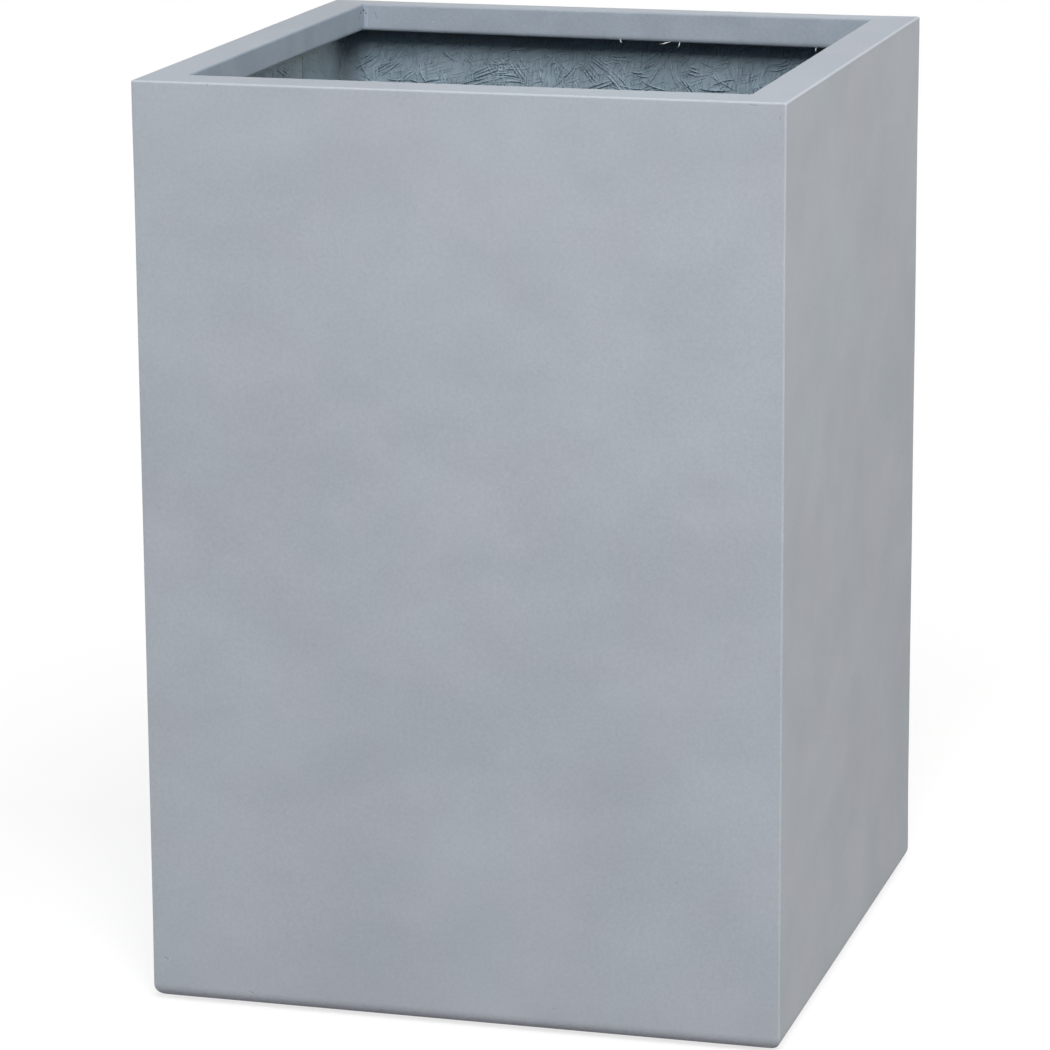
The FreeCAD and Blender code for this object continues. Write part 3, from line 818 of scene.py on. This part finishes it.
def whisker(line):
    """A thin six-sided fibre bent along four points, thinner at its ends."""
    places, verts = [], []
    for step in range(WHISKER_STEPS + 1):
        share = step / WHISKER_STEPS
        rest = 1 - share
        pulls = (rest ** 3, 3 * rest * rest * share, 3 * rest * share * share, share ** 3)
        places.append(sum((Vector(p) * pull for p, pull in zip(line, pulls)), Vector()))
    for step, middle in enumerate(places):
        ahead = places[min(step + 1, WHISKER_STEPS)] - places[max(step - 1, 0)]
        ahead.normalize()
        side = ahead.cross(Vector((0, 1, 0))).normalized()
        out = side.cross(ahead)
        size = WHISKER * (0.15 + 0.85 * sin(pi * (step + 1) / (WHISKER_STEPS + 2)) ** 2)
        for corner in range(WHISKER_SIDES):
            angle = 2 * pi * corner / WHISKER_SIDES
            verts.append(middle + (side * cos(angle) + out * sin(angle)) * size)
    faces = skin(WHISKER_STEPS + 1, WHISKER_SIDES)
    faces.append(tuple(reversed(range(WHISKER_SIDES))))
    faces.append(tuple(range(WHISKER_STEPS * WHISKER_SIDES, len(verts))))
    return verts, faces


def bare_glass():
    """White, a little shiny, with the dust of sanding along it."""
    material, place = new_material("bare_glass")
    dust = grain(place, 900.0, 2.0, 0.6)
    colour = dust.ramp(0.3, 0.7).tint(srgb(214, 220, 222), srgb(246, 248, 248))
    finish_material(place, colour, 0.35 + dust * 0.2, dust, 0.00003)
    return material


glass = bare_glass()
for number, line in enumerate(WHISKERS, start=1):
    mat_piece(f"glass_whisker_{number}", *whisker(line), glass)

# ------------------------------------------------------------------ drain plug
# Black rubber, moulded in one piece: a flat head on a tapered shank. It is
# pushed into the drain hole by hand and holds there by its own squeeze.


def rubber(name, dark, light):
    material, place = new_material(name)
    dust = grain(place, 60.0, 3.0, 0.6)
    fine = grain(place, 1400.0, 2.0, 0.5)
    finish_material(place, dust.ramp(0.4, 0.75).tint(dark, light), 0.7 + (dust - 0.5) * 0.3,
                    fine + dust * 0.5, 0.00006)
    return material


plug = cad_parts["drain_plug"]
plug.data.materials.clear()
plug.data.materials.append(rubber("black_rubber", srgb(38, 38, 40), srgb(62, 62, 62)))

# ------------------------------------------------------------------- foot pads
# Four discs cut from grey rubber sheet and glued under the base near its
# corners, so that water can run out of the drain hole.
pad_rubber = rubber("grey_rubber", srgb(70, 71, 73), srgb(96, 96, 95))
for corner in ("front_left", "front_right", "back_right", "back_left"):
    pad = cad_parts[f"foot_pad_{corner}"]
    pad.data.materials.clear()
    pad.data.materials.append(pad_rubber)

# ---------------------------------------------------------------------- studio
# A pale matt floor that runs on into a white background, soft light from the
# front and above, a warmer and a cooler light from the right, and low light
# from the back and the left that leaves the rim's top as it is.
FLOOR_REACH = 14
FLOOR_LEVEL = -0.0004
WHITE = (1, 1, 1, 1)
# The floor as the planter is lit by it, and as it is seen: half paint, half glow, so
# that the planter's shadow stays, and past the second distance white alone.
FLOOR_PAINT = (0.37, 0.35, 0.35, 1)
FLOOR_THIN = (0.30, 0.30, 0.30, 1)
FLOOR_GLOW = 0.74
WHITE_FROM, WHITE_AT = 0.55, 1.25
SKY = (1.0, 0.96, 0.95, 1)
SKY_STRENGTH = 0.115


def seen_itself(start):
    """1 where the camera, a reflection or clear glass looks at the studio itself."""
    rays = start.add("LightPath").socket.node.outputs
    seen = Flow(start.tree, rays["Is Camera Ray"]) + Flow(start.tree, rays["Is Glossy Ray"])
    return (seen + Flow(start.tree, rays["Is Transmission Ray"])).ramp(0.0, 1.0)


floor_mesh = bpy.data.meshes.new("studio_floor")
floor_corners = [(x * FLOOR_REACH, y * FLOOR_REACH, FLOOR_LEVEL)
                 for x, y in ((-1, -1), (1, -1), (1, 1), (-1, 1))]
floor_mesh.from_pydata(floor_corners, [], [(0, 1, 2, 3)])
studio_floor = bpy.data.objects.new("studio_floor", floor_mesh)
bpy.context.scene.collection.objects.link(studio_floor)

floor_paint, place = new_material("studio_white")
seen = seen_itself(place)
matt = place.add("BsdfDiffuse", None, {"Color": FLOOR_PAINT})
thin = place.add("BsdfDiffuse", None, {"Color": FLOOR_THIN})
glow = place.add("Emission", None, {"Color": WHITE, "Strength": FLOOR_GLOW})
near = place.add("AddShader", None, {0: thin, 1: glow})
far = place.add("Emission", None, {"Color": WHITE, "Strength": 1.0})
from_middle = place.away((0, 0, 0)).ramp(WHITE_FROM, WHITE_AT)
shown = place.add("MixShader", None, {0: from_middle, 1: near, 2: far})
surface = place.add("MixShader", None, {0: seen, 1: matt, 2: shown})
place.add("OutputMaterial", None, {"Surface": surface})
floor_mesh.materials.append(floor_paint)

world = bpy.data.worlds.new("studio")
world.use_nodes = True
world.node_tree.nodes.clear()
bpy.context.scene.world = world
sky = Flow(world.node_tree)
seen = seen_itself(sky)
soft = sky.add("Background", None, {"Color": SKY, "Strength": SKY_STRENGTH})
white = sky.add("Background", None, {"Color": WHITE, "Strength": 1.0})
surface = sky.add("MixShader", None, {0: seen, 1: soft, 2: white})
sky.add("OutputWorld", None, {"Surface": surface})

PLAIN = (1.0, 1.0, 1.0)
WARM = (1.0, 0.93, 0.81)
COOL = (0.92, 0.94, 1.0)
FAINT_COOL = (0.97, 0.99, 1.0)
# Name, place, height of the planter that it is aimed at, size, watts, colour, gloss.
LAMPS = (
    ("front_light", (1.00, -3.64, 3.88), 0.55, (2.4, 2.6), 243, PLAIN, 0.5),
    ("right_low_light", (3.3, -0.2, 1.55), 0.55, (2.2, 1.0), 39, WARM, 0.5),
    ("right_high_light", (3.48, -0.61, 4.09), 0.55, (2.4, 2.0), 54, COOL, 0.5),
    ("back_light", (-0.6, 4.8, 0.95), 0.40, (3.0, 1.0), 74, FAINT_COOL, 0.0),
    ("left_light", (-4.8, 0.2, 0.95), 0.40, (3.0, 1.0), 100, FAINT_COOL, 0.0))
for name, place, aim, size, power, colour, gloss in LAMPS:
    data = bpy.data.lights.new(name, "AREA")
    data.shape = "RECTANGLE"
    data.size, data.size_y = size
    data.energy = power
    data.color = colour
    data.specular_factor = gloss
    lamp = bpy.data.objects.new(name, data)
    bpy.context.scene.collection.objects.link(lamp)
    lamp.location = place
    toward = Vector((0, 0, aim)) - Vector(place)
    lamp.rotation_euler = toward.to_track_quat("-Z", "Y").to_euler()

# ---------------------------------------------------------------------- camera
# It stands in front of the planter, a little to the right and above the rim,
# and looks down on it through a long lens.
CAMERA_PLACE = Vector((0.9683, -3.4918, 1.2117))
CAMERA_YAW = radians(15.761)
CAMERA_PITCH = radians(13.559)
CAMERA_ROLL = radians(0.335)
CAMERA_LENS = 159.75
right = Vector((cos(CAMERA_YAW), sin(CAMERA_YAW), 0))
ahead = Vector((-sin(CAMERA_YAW) * cos(CAMERA_PITCH), cos(CAMERA_YAW) * cos(CAMERA_PITCH),
                -sin(CAMERA_PITCH)))
upward = right.cross(ahead)
rolled_right = right * cos(CAMERA_ROLL) - upward * sin(CAMERA_ROLL)
rolled_up = right * sin(CAMERA_ROLL) + upward * cos(CAMERA_ROLL)
camera_data = bpy.data.cameras.new("camera")
camera_data.lens = CAMERA_LENS
camera_data.sensor_width = 36
camera_data.clip_end = 60
camera = bpy.data.objects.new("camera", camera_data)
bpy.context.scene.collection.objects.link(camera)
turn = Matrix((rolled_right, rolled_up, -ahead)).transposed()
camera.matrix_world = Matrix.Translation(CAMERA_PLACE) @ turn.to_4x4()
bpy.context.scene.camera = camera
bpy.context.scene.view_settings.view_transform = "Standard"
